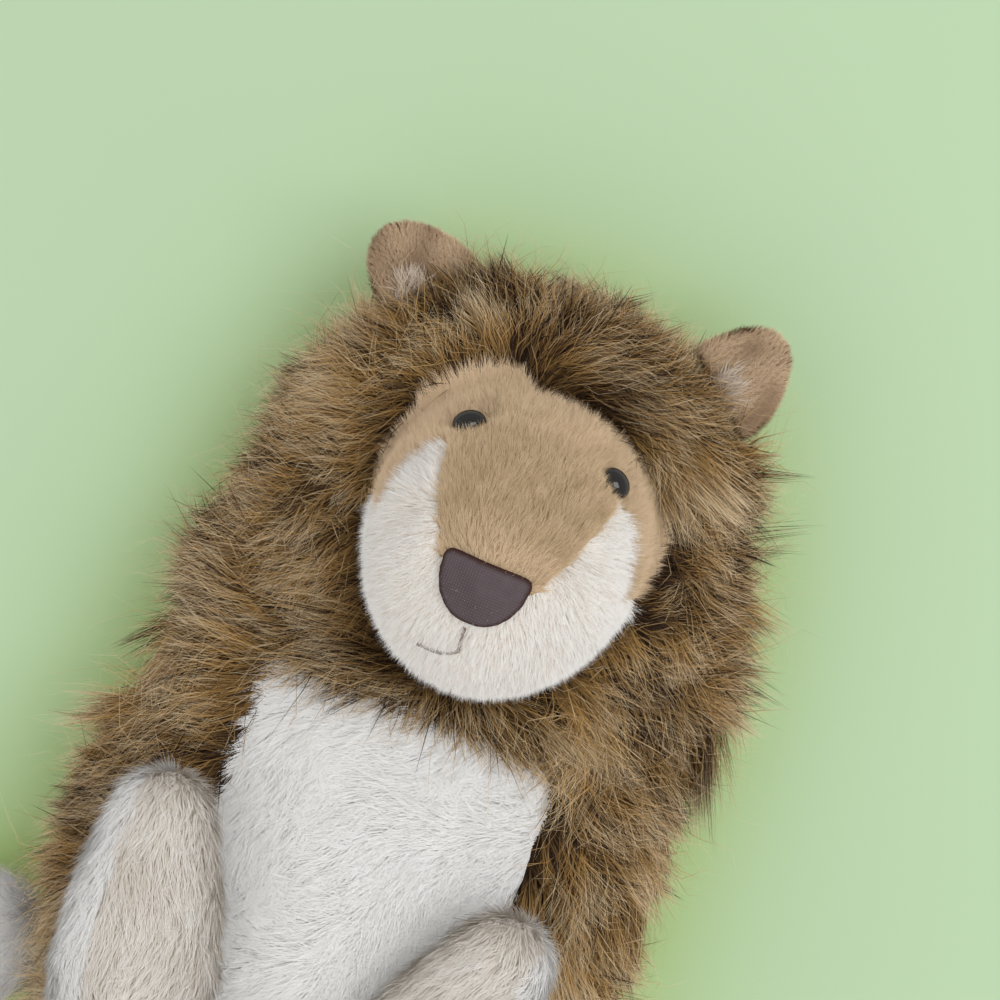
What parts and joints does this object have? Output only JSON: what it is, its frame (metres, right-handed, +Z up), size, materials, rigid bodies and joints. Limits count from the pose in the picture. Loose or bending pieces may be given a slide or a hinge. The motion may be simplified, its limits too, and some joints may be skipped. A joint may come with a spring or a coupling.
{
  "type": "plush wolf",
  "caption": "Shaggy stuffed wolf lying on its back, with a plush face, white belly, soft ears, sewn arms, legs and tail that swing at their seams.",
  "frame": {"origin": "on the floor under the middle of the back, where the lying toy rests", "axes": "+Y from seat to crown, +Z up out of the belly and face, +X to the toy's own left"},
  "size_m": [0.4206, 0.5038, 0.1802],
  "materials": {
    "coat": "matte",
    "white_plush": "matte",
    "beige_plush": "matte",
    "tan_plush": "matte",
    "pale_tan_plush": "matte",
    "brown_plush": "matte",
    "nose_cloth": "matte",
    "thread": "matte",
    "eye_plastic": "gloss",
    "washer_plastic": "satin",
    "fibre": "matte",
    "pellets": "matte"
  },
  "bodies": {
    "torso": {"torso_coat": "coat", "belly_panel": "white_plush", "torso_stuffing": "fibre", "pellet_bag": "pellets"},
    "head": {"mane_hood": "coat", "bridge_panel": "tan_plush", "brow_left": "pale_tan_plush", "brow_right": "pale_tan_plush", "cheek_left": "white_plush", "cheek_right": "white_plush", "nose": "nose_cloth", "mouth_stitch": "thread", "eye_left": "eye_plastic", "eye_right": "eye_plastic", "eye_washer_left": "washer_plastic", "eye_washer_right": "washer_plastic", "head_stuffing": "fibre"},
    "ear_left": {"ear_front_left": "brown_plush", "ear_back_left": "brown_plush", "ear_tuft_left": "white_plush"},
    "ear_right": {"ear_front_right": "brown_plush", "ear_back_right": "brown_plush", "ear_tuft_right": "white_plush"},
    "arm_left": {"arm_left_top": "beige_plush", "arm_left_under": "white_plush", "arm_left_stuffing": "fibre"},
    "arm_right": {"arm_right_top": "beige_plush", "arm_right_under": "white_plush", "arm_right_stuffing": "fibre"},
    "leg_left": {"leg_left_top": "beige_plush", "leg_left_under": "white_plush", "leg_left_stuffing": "fibre"},
    "leg_right": {"leg_right_top": "beige_plush", "leg_right_under": "white_plush", "leg_right_stuffing": "fibre"},
    "tail": {"tail_top": "coat", "tail_under": "pale_tan_plush", "tail_stuffing": "fibre"}
  },
  "joints": [
    {"name": "head_turn", "type": "hinge", "parent": "torso", "child": "head", "pos_m": [0, 0.09, 0.055], "axis": [0, 1, 0], "range_deg": [-25, 25], "stiffness_Nm_per_rad": 0.4},
    {"name": "ear_left_fold", "type": "hinge", "parent": "head", "child": "ear_left", "pos_m": [0.05878, 0.2294, 0.06577], "axis": [0.7717, -0.6359, 0], "range_deg": [-25, 45], "stiffness_Nm_per_rad": 0.01},
    {"name": "ear_right_fold", "type": "hinge", "parent": "head", "child": "ear_right", "pos_m": [-0.06527, 0.22281, 0.06696], "axis": [0.6966, 0.7175, 0], "range_deg": [-25, 45], "stiffness_Nm_per_rad": 0.01},
    {"name": "shoulder_left", "type": "hinge", "parent": "torso", "child": "arm_left", "pos_m": [0.05829, 0.00566, 0.1271], "axis": [-0.974, 0.2266, 0], "range_deg": [0, 120]},
    {"name": "shoulder_right", "type": "hinge", "parent": "torso", "child": "arm_right", "pos_m": [-0.07108, 0.00566, 0.12276], "axis": [-0.9752, -0.2213, 0], "range_deg": [0, 120]},
    {"name": "hip_left", "type": "hinge", "parent": "torso", "child": "leg_left", "pos_m": [0.12191, -0.0754, 0.0309], "axis": [-0.6428, -0.766, 0], "range_deg": [0, 85]},
    {"name": "hip_right", "type": "hinge", "parent": "torso", "child": "leg_right", "pos_m": [-0.12191, -0.0754, 0.0309], "axis": [-0.6428, 0.766, 0], "range_deg": [0, 85]},
    {"name": "tail_swing", "type": "hinge", "parent": "torso", "child": "tail", "pos_m": [0, -0.13579, 0.02297], "axis": [0, -0.0372, 0.9993], "range_deg": [-35, 35]}
  ]
}
